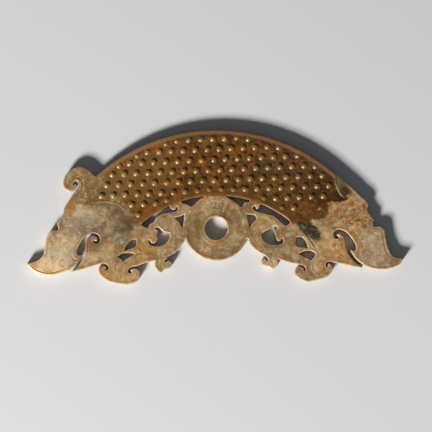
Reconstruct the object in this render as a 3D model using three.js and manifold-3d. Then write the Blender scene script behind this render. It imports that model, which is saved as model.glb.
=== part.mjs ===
// An arched jade pendant, carved from one thin slab: a band of raised grains that ends in a dragon's
// head on either side, and below it a ring between two birds, cut right through with a wire saw.
// It lies on its back. +Z points out of the carved face, +X along the length, +Y towards the arch's top.
// Its origin is on the underside, where the ring touches the middle of the arch.
import * as THREE from 'three';
import { mergeVertices } from 'three/addons/utils/BufferGeometryUtils.js';
import Module from 'manifold-3d';

const wasm = await Module();
wasm.setup();

// Driving dimensions, in millimetres.
const LENGTH = 210; // from one snout's tip to the other's
const THICKNESS = 5;
const ARCH_INNER_RADIUS = 64.4;
const ARCH_WIDTH = 36.8;
const RING_RADIUS = 18.15;
const RING_HOLE_RADIUS = 6.2;
const RING_BORDER = 1.7; // raised border at the hole and at the rim of the ring
const RING_FACE_DEPTH = 0.35;
const RIM_WIDTH = 1.5; // plain rim along the two edges of the arch
const GROUND_DEPTH = 0.9; // how far the ground between the grains is cut down
const GRAIN_RADIUS = 1.95;
const GRAIN_HEIGHT = 1.0;
const GRAIN_PITCH = 6.68;
const GRAIN_TILT = 1.9; // degrees by which the rows of grains rise to the right
const CHORD = 1.3; // length of the straight steps that a curve is cut into

// The free forms are drawn on a sheet of 200 units, tip to tip, as [distance from the middle, height].
const UNIT = LENGTH / 200;
const LEFT = -1;
const RIGHT = 1;
const SPARE = 1; // how far a cutter stands out of the face that it cuts

// Each end's outline, from the arch's outer edge round to the ring. One list is one smooth stretch,
// and two stretches meet in a corner. The right end has lost its horn.
const leftEnd = {
  horn: [[64.2, 11.5], [68.3, 15], [72.5, 16.2], [77.3, 14.3], [80.6, 10], [80.5, 5.3], [77.3, 3], [75, 3.6]],
  forehead: [[74.5, 2.6], [78, -1.7], [80.8, -6], [81.2, -9], [84.1, -13], [84.4, -14.2], [83.8, -16], [84, -17.2]],
  snout: [[84, -17.2], [87.8, -17.4], [89.8, -20.3], [91, -25], [91.9, -30], [94.7, -33], [100.9, -34.9]],
  lip: [[100.9, -34.9], [97.8, -38.2], [93, -40.5], [87, -41.2], [81.5, -39.9], [79, -38.9]],
  chin: [[78, -39.7], [71, -38.2], [64.5, -36.3], [62.4, -36.2]],
  tuft: [[62.4, -36.2], [62.7, -39.5], [59.5, -43.7], [52, -46.2], [46, -46.4], [41.8, -44.4], [40.7, -40], [42.5, -37.8]],
  belly: [[42.4, -37], [38, -35.3], [32.7, -34.2]],
  foot: [[32.7, -34.2], [32.8, -37.5], [30, -40.6], [28, -39.2], [25, -38.1], [23.6, -36], [25.6, -33.6]],
  breast: [[26.2, -32.4], [21, -29.2], [18.6, -26], [17.1, -23.1]],
};
const rightEnd = {
  brow: [[66, 8.9], [72, 3.7], [75, 0.6], [79.8, -3.9], [80.7, -6], [80.2, -8.2], [82, -11.6], [83.8, -13.7]],
  notch: [[83.8, -13.7], [83.2, -15.5], [83.6, -17.3]],
  snout: [[83.6, -17.3], [87.2, -17.4], [89.1, -19], [89.7, -22.4], [91.3, -29.4], [93.5, -33.1], [99.3, -34.7]],
  lip: [[99.3, -34.7], [96.5, -38], [91, -39.9], [85, -40.1], [80, -38.9], [78.2, -38.1]],
  chin: [[76.9, -39.3], [72, -38.5], [66, -37], [61.2, -36.3]],
  tuft: [[60.4, -36.8], [61.6, -39.2], [59, -43.4], [52, -45.7], [47.5, -46.2], [42, -43.4], [41.4, -40.2], [43.2, -38]],
  belly: [[43.2, -36.9], [37, -35.6], [32.4, -34]],
  foot: [[32.4, -34], [32.4, -37], [29.6, -39.3], [27.3, -38.2], [24.2, -37], [23.6, -34.8], [25.3, -33.4]],
  breast: [[26, -32.4], [21, -29.5], [18.2, -26.5], [16.6, -23.2]],
};

// Openings under the arch, cut before the arch and the ring are laid over them.
const leftOpenings = {
  crestGap: [
    [[18.1, -2.4], [14, -1], [9, 1], [6, 0]],
    [[6, -0.3], [8.5, -1.7], [12.3, -5], [13.4, -5.5]],
    [[13.4, -5.5], [14.8, -4.5], [17.9, -3.4]],
  ],
  longGap: [
    [[39.9, -14.6], [34, -8], [24.6, -5.3]],
    [[24.6, -5.3], [23.7, -6.9], [21.7, -7.2], [20.9, -5.7]],
    [[20.3, -6], [20.7, -7.5], [23.2, -8.2], [28, -9], [31.6, -11], [33, -13], [35.2, -14.6], [36.2, -16.5]],
    [[36.2, -16.5], [37.8, -16], [39.9, -14.6]],
  ],
  triangle: [[[16.9, -9.9], [19.5, -10.9], [21.9, -11.4]], [[21.9, -11.4], [20, -13.2], [17.8, -16.7]], [[17.8, -16.7], [17.2, -13], [16.9, -9.9]]],
  birdsEye: [
    [[32.5, -16.7], [30.8, -16.5], [28.5, -18.6], [24.7, -19.6]],
    [[24.7, -19.6], [25.3, -22.8], [28, -25.6], [32, -26.3], [35.2, -25.3], [36, -23.2]],
    [[35.4, -23.3], [34.4, -24.8], [32.3, -24.5], [31.1, -22.3], [31.5, -19.8]],
    [[31.5, -19.8], [30.9, -18], [32.1, -17.2]],
  ],
  upperEye: [[[48.7, -28.4], [47.6, -25.6], [44.8, -22.9], [42.6, -22.8]], [[42.5, -23.2], [42.5, -25.3], [43, -26.4]], [[43, -26.4], [45.5, -27.2], [48.7, -28.4]]],
  lowerEye: [[[52.6, -31.7], [50, -30.1], [46.5, -29.9], [43.7, -30.4]], [[43.7, -30.4], [47.2, -32.4], [49.7, -34.1]], [[49.7, -34.1], [50.4, -33], [52.6, -31.7]]],
};
const rightOpenings = {
  crestGap: [
    [[5.6, -0.2], [9, 1], [14, -0.5], [17.9, -2.7]],
    [[17.7, -3.3], [15.2, -3.7], [14.1, -5.6]],
    [[13.2, -5.9], [9.8, -3.3], [5.6, -0.4]],
  ],
  longGap: [
    [[23.4, -4.9], [31, -6.5], [36, -10.5], [39.2, -14.6]],
    [[39.2, -14.6], [37.8, -15.8], [36.4, -16]],
    [[36.4, -16], [33.5, -13.4], [31, -11.2], [26.5, -9.9], [21.5, -8.5], [19.7, -7], [20.4, -5.7]],
    [[20.9, -6], [21.2, -7.3], [22.6, -7.1], [23.4, -4.9]],
  ],
  triangle: [[[16.2, -10.1], [21, -11.5]], [[21, -11.5], [21.2, -12.5], [18.8, -15.2], [17.9, -17.3]], [[17.9, -17.3], [17, -13.5], [16.2, -10.1]]],
  birdsEye: [
    [[32.2, -18.2], [31.9, -16.8], [30.3, -16.3], [28.7, -17.9], [26, -19.2], [24.2, -20.5]],
    [[24.2, -20.5], [24.4, -22.8], [26.5, -25.1], [31, -26.3], [35.2, -25.2], [35.2, -23.2]],
    [[34.6, -23.4], [33.7, -24.6], [32.1, -24], [31.4, -21.6], [30.3, -18.5], [30.6, -17.4], [31.6, -18.2]],
  ],
  upperEye: [[[48.4, -28.3], [47.3, -24.9], [45.2, -22.5], [42.4, -22.7]], [[42.4, -22.7], [42, -26.1]], [[42, -26.1], [45.2, -27.2], [48.4, -28.3]]],
  lowerEye: [[[43.5, -31.4], [46.5, -30.1], [50.2, -30], [52.3, -31.2]], [[52.3, -31.2], [52.1, -32.5], [50.1, -34.6]], [[50.1, -34.6], [47.5, -33.2], [43.5, -31.4]]],
};

// The mouths run from the lip up to a curl. They are cut last.
const leftMouth = [
  [[80.4, -41.2], [78, -38.4], [74.3, -35.2], [72.1, -31.6], [71.5, -30.5]],
  [[71.5, -30.5], [73.7, -30.1], [73.6, -27.3], [71.8, -23.8], [69.2, -20.7], [65.8, -19.1], [62.6, -20.3], [61.9, -23.2], [63.5, -24.5], [65.2, -23.6]],
  [[64.9, -23], [63.4, -23.5], [63, -21.4], [66, -20.2], [68.6, -22], [69.6, -26], [70.4, -31], [73.8, -36.6], [77.5, -39.7], [78.6, -41.2]],
];
const rightMouth = [
  [[80.6, -41.2], [78.2, -38.1], [74.3, -35], [71.6, -31.3], [70.8, -29.5]],
  [[70.8, -29.5], [73.6, -29.7], [73.8, -27.2], [71.3, -23], [68, -19.7], [64.5, -18.8], [62.2, -20.8], [63.2, -23.4], [65.2, -23.1]],
  [[64.8, -22.6], [63.7, -21.5], [65.3, -20.7], [67.4, -22.5], [68.6, -27.3], [69.9, -31.6], [73.3, -36], [76.8, -38.9], [77.6, -41.2]],
];

// Saw cuts that end in a curl: the line they follow, and their width along it.
const leftSlits = {
  horn: { line: [[76.2, 2.2], [74.4, 3.8], [73.2, 6.2], [74.2, 8.1], [75.4, 6.9]], width: [1.7, 1.2, 1.05, 0.95, 0.5] },
  tuftFront: { line: [[64.6, -37.2], [61.8, -36.1], [58.9, -36.2], [57.8, -37.8], [59.2, -38.3]], width: [1.9, 1.3, 1.1, 1, 0.5] },
  tuftBack: { line: [[40.2, -37.8], [43.5, -37.5], [46.2, -38.4], [46.3, -39.7], [45.3, -39.9]], width: [2, 0.8, 0.85, 1.3, 0.6] },
  foot: { line: [[23.7, -32.5], [25.6, -33.2], [27.2, -34.4]], width: [1.2, 0.8, 1] },
};
const rightSlits = {
  tuftFront: { line: [[62.6, -37.4], [60.2, -36.2], [58.7, -36.4], [58.4, -38.2]], width: [1.8, 0.9, 0.95, 0.9] },
  tuftBack: { line: [[40.6, -37.9], [43.4, -37.5], [46.2, -38.4], [46.8, -40.2]], width: [2, 0.8, 0.8, 0.6] },
  foot: { line: [[23.6, -32.7], [25.8, -33], [27, -34.6]], width: [1.3, 0.65, 0.85] },
};

// The line where a head begins, from the arch's outer edge inwards. The grains stop at it.
const napeLine = [[66.8, 13], [63.6, 9.6], [63.7, 5], [66.6, -1.2]];
const cheekLine = [[66.6, -1.2], [58, -2.5], [52.5, -3.4], [48.8, -6.6], [44.5, -13], [38.5, -16.5]];

const at = (side, [x, y]) => new THREE.Vector2(side * x * UNIT, y * UNIT);

// A smooth line through a few points, cut into straight steps.
function smooth(side, points) {
  const knots = points.map((point) => at(side, point)).map((p) => new THREE.Vector3(p.x, p.y, 0));
  const curve = new THREE.CatmullRomCurve3(knots, false, 'centripetal');
  const steps = Math.max(points.length - 1, Math.ceil(curve.getLength() / CHORD));
  return curve.getPoints(steps).map((p) => new THREE.Vector2(p.x, p.y));
}

// Smooth stretches end to end, without the points that two of them share.
function outline(side, stretches) {
  const points = stretches.flatMap((stretch) => smooth(side, stretch));
  return points.filter((p, i) => p.distanceTo(points.at(i - 1)) > CHORD / 100);
}

// A band along a line, as wide as the widths say, which are spaced as the line's points are.
// Inside a tight bend, the points that would fold back over the band are left out.
function stroke(side, { line, width }) {
  const curve = new THREE.CatmullRomCurve3(line.map(([x, y]) => new THREE.Vector3(side * x, y, 0)), false, 'centripetal');
  const steps = Math.ceil((1.6 * curve.getLength() * UNIT) / CHORD);
  const stations = Array.from({ length: steps + 1 }, (_, i) => {
    const t = i / steps;
    const place = t * (width.length - 1);
    const knot = Math.min(Math.floor(place), width.length - 2);
    const half = THREE.MathUtils.lerp(width[knot], width[knot + 1], place - knot) / 2;
    const across = new THREE.Vector2(-curve.getTangent(t).y, curve.getTangent(t).x).multiplyScalar(half);
    return { middle: new THREE.Vector2(curve.getPoint(t).x, curve.getPoint(t).y), across, half };
  });
  const edge = (sign) => stations
    .map(({ middle, across, half }) => ({ point: middle.clone().addScaledVector(across, sign), half }))
    .filter(({ point, half }) => stations.every(({ middle }) => middle.distanceTo(point) > 0.95 * half))
    .map(({ point }) => point.multiplyScalar(UNIT));
  return [...edge(1), ...edge(-1).reverse()];
}

// A closed mesh as a solid for joining and cutting, and back again.
function solidOf(geometry) {
  const bare = geometry.clone();
  bare.deleteAttribute('normal');
  bare.deleteAttribute('uv');
  const merged = mergeVertices(bare, 1e-5);
  return new wasm.Manifold(new wasm.Mesh({
    numProp: 3,
    vertProperties: new Float32Array(merged.attributes.position.array),
    triVerts: new Uint32Array(merged.index.array),
  }));
}
function geometryOf(solid) {
  const { vertProperties, triVerts } = solid.getMesh();
  const geometry = new THREE.BufferGeometry();
  geometry.setAttribute('position', new THREE.BufferAttribute(vertProperties, 3));
  geometry.setIndex(new THREE.BufferAttribute(triVerts, 1));
  geometry.computeVertexNormals();
  return geometry;
}

const all = (solids) => solids.reduce((sum, next) => sum.add(next));

// The closed outline as a slab between two heights.
function slab(points, low, high) {
  const geometry = new THREE.ExtrudeGeometry(new THREE.Shape(points), { depth: high - low, bevelEnabled: false });
  return solidOf(geometry.translate(0, 0, low));
}
const through = (points) => slab(points, -SPARE, THICKNESS + SPARE);

function circle(centre, radius) {
  const steps = Math.ceil((2 * Math.PI * radius) / CHORD);
  return Array.from({ length: steps }, (_, i) => {
    const angle = (2 * Math.PI * i) / steps;
    return new THREE.Vector2(centre.x + radius * Math.cos(angle), centre.y + radius * Math.sin(angle));
  });
}

const archCentre = new THREE.Vector2(0, -ARCH_INNER_RADIUS);
const archOuterRadius = ARCH_INNER_RADIUS + ARCH_WIDTH;
const ringCentre = new THREE.Vector2(0, -RING_RADIUS);

// The angle from upright at which the arch's outer edge reaches a given distance from the middle.
const angleAt = (x) => Math.asin((x * UNIT) / archOuterRadius);

// The curved band between two radii, as far as an angle from upright on each side.
function band(innerRadius, outerRadius, leftAngle, rightAngle) {
  const arc = (radius) => {
    const steps = Math.ceil(((leftAngle + rightAngle) * radius) / CHORD);
    return Array.from({ length: steps + 1 }, (_, i) => {
      const angle = -leftAngle + ((leftAngle + rightAngle) * i) / steps;
      return new THREE.Vector2(radius * Math.sin(angle), radius * Math.cos(angle)).add(archCentre);
    });
  };
  return [...arc(outerRadius), ...arc(innerRadius).reverse()];
}

// One end of the pendant: head, tuft and bird, filled in as far as the middle.
function end(side, stretches) {
  const inside = [[0, -17], [0, 10]].map((point) => at(side, point));
  return slab([...outline(side, Object.values(stretches)), ...inside], 0, THICKNESS);
}

// The slab with all its openings, before anything is carved into its face.
function blank() {
  const ends = end(LEFT, leftEnd).add(end(RIGHT, rightEnd));
  const openings = all([
    ...Object.values(leftOpenings).map((opening) => through(outline(LEFT, opening))),
    ...Object.values(rightOpenings).map((opening) => through(outline(RIGHT, opening))),
  ]);
  const arch = slab(band(ARCH_INNER_RADIUS, archOuterRadius, angleAt(64.5), angleAt(66)), 0, THICKNESS);
  const ring = slab(circle(ringCentre, RING_RADIUS), 0, THICKNESS);
  const sawn = all([
    through(outline(LEFT, leftMouth)),
    through(outline(RIGHT, rightMouth)),
    ...Object.values(leftSlits).map((slit) => through(stroke(LEFT, slit))),
    ...Object.values(rightSlits).map((slit) => through(stroke(RIGHT, slit))),
    through(circle(ringCentre, RING_HOLE_RADIUS)),
  ]);
  return ends.subtract(openings).add(arch).add(ring).subtract(sawn);
}

// The line where a head begins, and the whole area behind it.
const headLine = (side) => outline(side, [napeLine, cheekLine]);
const headArea = (side) => [...headLine(side), ...[[38.5, -60], [110, -60], [110, 13]].map((point) => at(side, point))];

// The sunk field of the arch, inside its rims and between the two heads.
function field() {
  const widest = angleAt(72);
  const innerRadius = ARCH_INNER_RADIUS + RIM_WIDTH;
  const outerRadius = archOuterRadius - RIM_WIDTH;
  const sunk = slab(band(innerRadius, outerRadius, widest, widest), THICKNESS - GROUND_DEPTH, THICKNESS + SPARE);
  return sunk.subtract(through(headArea(LEFT))).subtract(through(headArea(RIGHT)));
}

function isInside(points, p) {
  const crossings = points.filter((a, i) => {
    const b = points.at(i - 1);
    return a.y > p.y !== b.y > p.y && p.x < a.x + ((b.x - a.x) * (p.y - a.y)) / (b.y - a.y);
  });
  return crossings.length % 2 === 1;
}

// Whether a grain fits between the two heads without running into either.
function clearOfHeads(centre) {
  return [LEFT, RIGHT].every(
    (side) => !isInside(headArea(side), centre) && headLine(side).every((p) => p.distanceTo(centre) > GRAIN_RADIUS),
  );
}

// Grains in staggered rows. One that would run into the rim is pushed clear of it.
function grainCentres() {
  const rowStep = GRAIN_PITCH * Math.cos(Math.PI / 6);
  const tilt = THREE.MathUtils.degToRad(GRAIN_TILT);
  const first = new THREE.Vector2(-0.12 * GRAIN_PITCH, 19.4 * UNIT);
  const centres = [];
  for (let row = -6; row <= 6; row++) {
    for (let column = -12; column <= 12; column++) {
      const x = (column + (row % 2 === 0 ? 0 : 0.5)) * GRAIN_PITCH;
      const centre = new THREE.Vector2(x, row * rowStep).rotateAround(new THREE.Vector2(), tilt).add(first);
      const out = centre.clone().sub(archCentre);
      const least = ARCH_INNER_RADIUS + RIM_WIDTH + GRAIN_RADIUS;
      const most = archOuterRadius - RIM_WIDTH - GRAIN_RADIUS;
      const radius = out.length();
      if (radius > least - GRAIN_RADIUS && radius < most + GRAIN_RADIUS) {
        out.setLength(THREE.MathUtils.clamp(radius, least, most));
        centre.copy(out.add(archCentre));
        if (clearOfHeads(centre)) centres.push(centre);
      }
    }
  }
  return centres;
}

// A grain: a low dome that comes to a blunt point.
function grain(centre) {
  const ground = THICKNESS - GROUND_DEPTH;
  const profile = [[0, -GROUND_DEPTH / 2], [1, -GROUND_DEPTH / 2], [1, 0], [0.62, 0.72], [0, 1]].map(
    ([r, z]) => new THREE.Vector2(r * GRAIN_RADIUS, z < 0 ? z : z * GRAIN_HEIGHT),
  );
  const geometry = new THREE.LatheGeometry(profile, 8).rotateX(Math.PI / 2);
  return solidOf(geometry.translate(centre.x, centre.y, ground));
}

// The ring's face lies a little lower than its two raised borders.
function ringFace() {
  const low = THICKNESS - RING_FACE_DEPTH;
  const outer = slab(circle(ringCentre, RING_RADIUS - RING_BORDER), low, THICKNESS + SPARE);
  return outer.subtract(through(circle(ringCentre, RING_HOLE_RADIUS + RING_BORDER)));
}

function carve() {
  const grains = wasm.Manifold.union(grainCentres().map(grain));
  return blank().subtract(field()).subtract(ringFace()).add(grains);
}

const jade = new THREE.MeshStandardMaterial({ color: 0xa98a5c, roughness: 0.35, metalness: 0 });
const plaque = new THREE.Mesh(geometryOf(carve()), jade);
plaque.name = 'plaque';

const pendant = new THREE.Group();
pendant.add(plaque);
export default pendant;
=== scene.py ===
# %% [markdown]
# # An arched jade pendant
# The real piece is one thin slab of jade, sawn to an outline, pierced with a wire saw and then
# carved on its face: a sunk band of raised grains, a dragon's head at each end, two birds and a ring.
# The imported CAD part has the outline, the openings, the sunk band and the grains as flat facets.
# This script reads those from it, lays a fine surface over them and finishes it as polished stone.

import math

import bpy
import numpy as np
from mathutils.geometry import delaunay_2d_cdt
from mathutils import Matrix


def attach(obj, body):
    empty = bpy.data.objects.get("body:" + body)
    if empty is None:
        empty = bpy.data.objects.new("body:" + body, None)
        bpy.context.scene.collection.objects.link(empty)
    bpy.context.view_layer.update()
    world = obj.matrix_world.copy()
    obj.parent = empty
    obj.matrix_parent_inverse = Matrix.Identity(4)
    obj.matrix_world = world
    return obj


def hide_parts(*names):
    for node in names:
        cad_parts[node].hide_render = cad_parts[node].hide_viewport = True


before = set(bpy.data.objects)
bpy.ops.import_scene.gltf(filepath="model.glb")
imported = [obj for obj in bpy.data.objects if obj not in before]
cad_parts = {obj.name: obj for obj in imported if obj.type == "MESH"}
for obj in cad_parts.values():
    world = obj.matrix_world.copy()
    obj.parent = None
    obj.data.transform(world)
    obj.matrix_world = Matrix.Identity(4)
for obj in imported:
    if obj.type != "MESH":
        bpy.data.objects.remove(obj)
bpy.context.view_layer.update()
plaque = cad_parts["plaque"]

# %% [markdown]
# All shaping below is done in millimetres, and only the finished mesh is turned into metres.
# The free forms were drawn on a sheet 200 units long, so the engraved lines use that unit too,
# as in the part's own source.

# %% Named sizes
MM = 0.001
LENGTH = 210.0
UNIT = LENGTH / 200
THICKNESS = 5.0
GROUND_DEPTH = 0.9
RING_FACE_DEPTH = 0.35
GRAIN_RADIUS = 1.95
GRAIN_HEIGHT = 1.0
ARCH_CENTRE = np.array([0.0, -64.4])
RING_CENTRE = (0, -17.28)  # in drawing units, as the engraved lines are
TILT = math.radians(0.7)  # the pendant hangs slightly turned in the picture

# %% [markdown]
# ## Reading the drawing back from the facets
# Tracing the outline again would let the fine surface drift from the solid. The facets already
# hold every edge, so it is simpler and safer to pick the edges out of the mesh by their heights:
# the rim of the underside is the outline, a step in the face is a border, and a peak is a grain.

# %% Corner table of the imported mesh
def facet_corners(node):
    """Every triangle of a mesh as three corner numbers, and the place of each corner in mm.

    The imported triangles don't share corners, so equal places are given one number.
    """
    mesh = node.data
    mesh.calc_loop_triangles()
    places = np.empty(len(mesh.vertices) * 3)
    mesh.vertices.foreach_get("co", places)
    corners = np.empty(len(mesh.loop_triangles) * 3, int)
    mesh.loop_triangles.foreach_get("vertices", corners)
    rounded = np.round(places.reshape(-1, 3) / MM, 3)
    unique, number = np.unique(rounded, axis=0, return_inverse=True)
    return unique, number.ravel()[corners].reshape(-1, 3)


cad_points, cad_facets = facet_corners(plaque)
facet_heights = cad_points[cad_facets, 2]
print(len(cad_points), "corners,", len(cad_facets), "facets")


# %% Borders between two kinds of facet
def border(first, second):
    """Directed edges that a facet of the first kind shares with one of the second kind.

    Each edge runs as the first kind's facets do, anticlockwise when seen from outside the stone.
    """
    ahead = [0, 1, 1, 2, 2, 0]
    edges = cad_facets[first][:, ahead].reshape(-1, 2)
    others = cad_facets[second][:, ahead].reshape(-1, 2)[:, ::-1]
    count = len(cad_points)
    shared = np.isin(edges[:, 0] * count + edges[:, 1], others[:, 0] * count + others[:, 1])
    return edges[shared]


SAME = 1e-3  # heights that differ by less than this many mm are the same
FIELD_LEVEL = THICKNESS - GROUND_DEPTH
level = np.ptp(facet_heights, axis=1) < SAME
lowest = facet_heights.min(axis=1)
highest = facet_heights.max(axis=1)
underside = level & (highest < SAME)
field_floor = level & (abs(lowest - FIELD_LEVEL) < SAME)
ring_floor = level & (abs(lowest - (THICKNESS - RING_FACE_DEPTH)) < SAME)
wall = ~level & (abs(highest - THICKNESS) < SAME)
outer_wall = ~level & (lowest < SAME)

outline_edges = border(underside, outer_wall)[:, ::-1]
field_edges = border(field_floor, wall)
ring_edges = border(ring_floor, wall)
peaks = cad_points[cad_points[:, 2] > FIELD_LEVEL + GRAIN_HEIGHT - SAME, :2]
print(len(outline_edges), "outline edges,", len(field_edges), "field edges,", len(peaks), "grains")

# %% [markdown]
# ## Smoothing the outline
# A facet's edge is a straight step of about a millimetre. On the real stone the saw left flowing
# curves, so each step is replaced by a curve that leaves and arrives in the direction of its
# neighbours. Where two steps meet at a sharp turn, the real outline has a point, and it is kept.

# %% Curved steps
CORNER_TURN = math.radians(78)
OUTLINE_STEP = 0.42


def unit(vectors):
    return vectors / np.maximum(np.linalg.norm(vectors, axis=1, keepdims=True), 1e-12)


def meeting_direction(first, second):
    """Direction at a corner: each side's direction weighs more the shorter that side is."""
    first_length = np.linalg.norm(first, axis=1, keepdims=True)
    second_length = np.linalg.norm(second, axis=1, keepdims=True)
    return unit(unit(first) * second_length + unit(second) * first_length)


def turning(first, second):
    """Angle between two directions."""
    return np.arccos(np.clip((unit(first) * unit(second)).sum(axis=1), -1, 1))


def divided(length, step, fewest):
    """Parts for each run of a line, and for every part the number of its run and its share along it."""
    parts = np.maximum(fewest, np.ceil(length / step)).astype(int)
    which = np.repeat(np.arange(len(parts)), parts)
    first = np.repeat(np.cumsum(parts) - parts, parts)
    return parts, which, ((np.arange(parts.sum()) - first) / parts[which])[:, None]


def cubic(start, leave, end, arrive, share):
    """Hermite curve: a cubic from start to end that sets off along leave and comes in along arrive."""
    return (
        start * (2 * share**3 - 3 * share**2 + 1)
        + leave * (share**3 - 2 * share**2 + share)
        + end * (3 * share**2 - 2 * share**3)
        + arrive * (share**3 - share**2)
    )


def flowing(edges):
    """A closed chain of edges as a finer one: its points (n, 2) in mm, and the number of the next of each.

    Each edge leaves its first point along the mean of the directions before and after that point,
    and reaches its last one in the same way. At a sharp turn the edge's own direction is used.
    """
    chained = np.isin(edges[:, 0], edges[:, 1]) & np.isin(edges[:, 1], edges[:, 0])
    assert chained.all(), "an outline is open"
    after = np.zeros(len(cad_points), int)
    before = np.zeros(len(cad_points), int)
    after[edges[:, 0]] = edges[:, 1]
    before[edges[:, 1]] = edges[:, 0]
    start, end = edges.T
    place = cad_points[:, :2]
    run = place[end] - place[start]
    run_in = place[start] - place[before[start]]
    run_out = place[after[end]] - place[end]
    length = np.linalg.norm(run, axis=1, keepdims=True)
    sharp_start = turning(run_in, run)[:, None] > CORNER_TURN
    sharp_end = turning(run, run_out)[:, None] > CORNER_TURN
    leave = np.where(sharp_start, run / length, meeting_direction(run_in, run)) * length
    arrive = np.where(sharp_end, run / length, meeting_direction(run, run_out)) * length
    parts, which, share = divided(length.ravel(), OUTLINE_STEP, 1)
    points = cubic(place[start][which], leave[which], place[end][which], arrive[which], share)
    first_of = np.zeros(len(cad_points), int)
    first_of[start] = np.cumsum(parts) - parts
    following = np.arange(len(points)) + 1
    following[np.cumsum(parts) - 1] = first_of[end]
    return points, following


outline, outline_next = flowing(outline_edges)
field_line, field_next = flowing(field_edges)
ring_line, ring_next = flowing(ring_edges)
outline_length = np.linalg.norm(outline[outline_next] - outline, axis=1).sum()
print("outline has", len(outline), "points and is", round(float(outline_length)), "mm long")

# %% [markdown]
# ## How far is it to the edge?
# Nearly all the carving depends on one number: how far a place lies from an edge or a line.
# Every line is a row of short steps, so the nearest step's middle is found first for all places
# at once, and then the exact distance to that step. The side comes from the step's direction.

# %% Distance to a chain of short steps
MOST_AT_ONCE = 12_000_000  # distances worked out together, to keep the arrays small


def nearest_step(places, starts, ends):
    """Number of the step whose middle is closest to each place.

    |p - m| squared is |p| squared - 2 p.m + |m| squared, and the first term is the same for every m.
    """
    middles = (starts + ends) / 2
    offsets = (middles**2).sum(axis=1)
    chunks = np.array_split(places, max(1, len(places) * len(middles) // MOST_AT_ONCE))
    return np.concatenate([(offsets - 2 * chunk @ middles.T).argmin(axis=1) for chunk in chunks])


def distance_along(places, starts, ends):
    """Distance from each place to the nearest step, the step's number and the share along it."""
    step = nearest_step(places, starts, ends)
    run = (ends - starts)[step]
    share = ((places - starts[step]) * run).sum(axis=1) / np.maximum((run**2).sum(axis=1), 1e-12)
    share = np.clip(share, 0, 1)
    distance = np.linalg.norm(places - starts[step] - run * share[:, None], axis=1)
    return distance, step, share


def normals(points, following):
    """Left-hand normal of each step of a closed chain, and the mean of two steps' normals at its start."""
    run = unit(points[following] - points)
    normal = np.stack([-run[:, 1], run[:, 0]], axis=1)
    at_start = np.zeros_like(normal)
    np.add.at(at_start, following, normal)
    return normal, unit(at_start + normal)


def depth_inside(places, points, following):
    """Distance to a closed chain, positive on its left side.

    Beside a step the step's own normal tells the side, and past its end the two steps' mean normal.
    """
    starts, ends = points, points[following]
    distance, step, share = distance_along(places, starts, ends)
    inward, corner_inward = normals(points, following)
    normal = inward[step]
    normal = np.where((share <= 0)[:, None], corner_inward[step], normal)
    normal = np.where((share >= 1)[:, None], corner_inward[following[step]], normal)
    closest = starts[step] + (ends - starts)[step] * share[:, None]
    return distance * np.sign(((places - closest) * normal).sum(axis=1))


def edge_depth(points):
    """Distance inwards from the outline, 0 for the outline's own points, which come first."""
    depth = np.maximum(depth_inside(points, outline, outline_next), 0)
    depth[: len(outline)] = 0
    return depth


# %% [markdown]
# ## Engraved lines and fine ridges
# On the stone these were cut with a small wheel: shallow rounded grooves that start and end thin,
# and a few places where the stone beside a line was left standing as a thin ridge. A texture would
# look painted on, so both are cut into the surface. Each is drawn as a few points with a smooth
# curve through them, and a strength, because many of the grooves are almost worn away.

# %% A smooth curve through a few points
LINE_STEP = 0.25


def smooth_curve(points):
    """Catmull-Rom curve: between b and c it leaves along c - a and arrives along d - b, halved."""
    knots = np.array(points, float) * UNIT
    padded = np.vstack([2 * knots[0] - knots[1], knots, 2 * knots[-1] - knots[-2]])
    before, start, end, after = padded[:-3], padded[1:-2], padded[2:-1], padded[3:]
    _, which, share = divided(np.linalg.norm(end - start, axis=1), LINE_STEP, 2)
    leave = (end - before)[which] / 2
    arrive = (after - start)[which] / 2
    curve = cubic(start[which], leave, end[which], arrive, share)
    return np.vstack([curve, knots[-1:]])


def ring_of(x, y, radius, count=9):
    """Points of a circle, as a closed line."""
    angle = np.linspace(0, 2 * math.pi, count)
    return np.stack([x + radius * np.cos(angle), y + radius * np.sin(angle)], axis=1)


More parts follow.
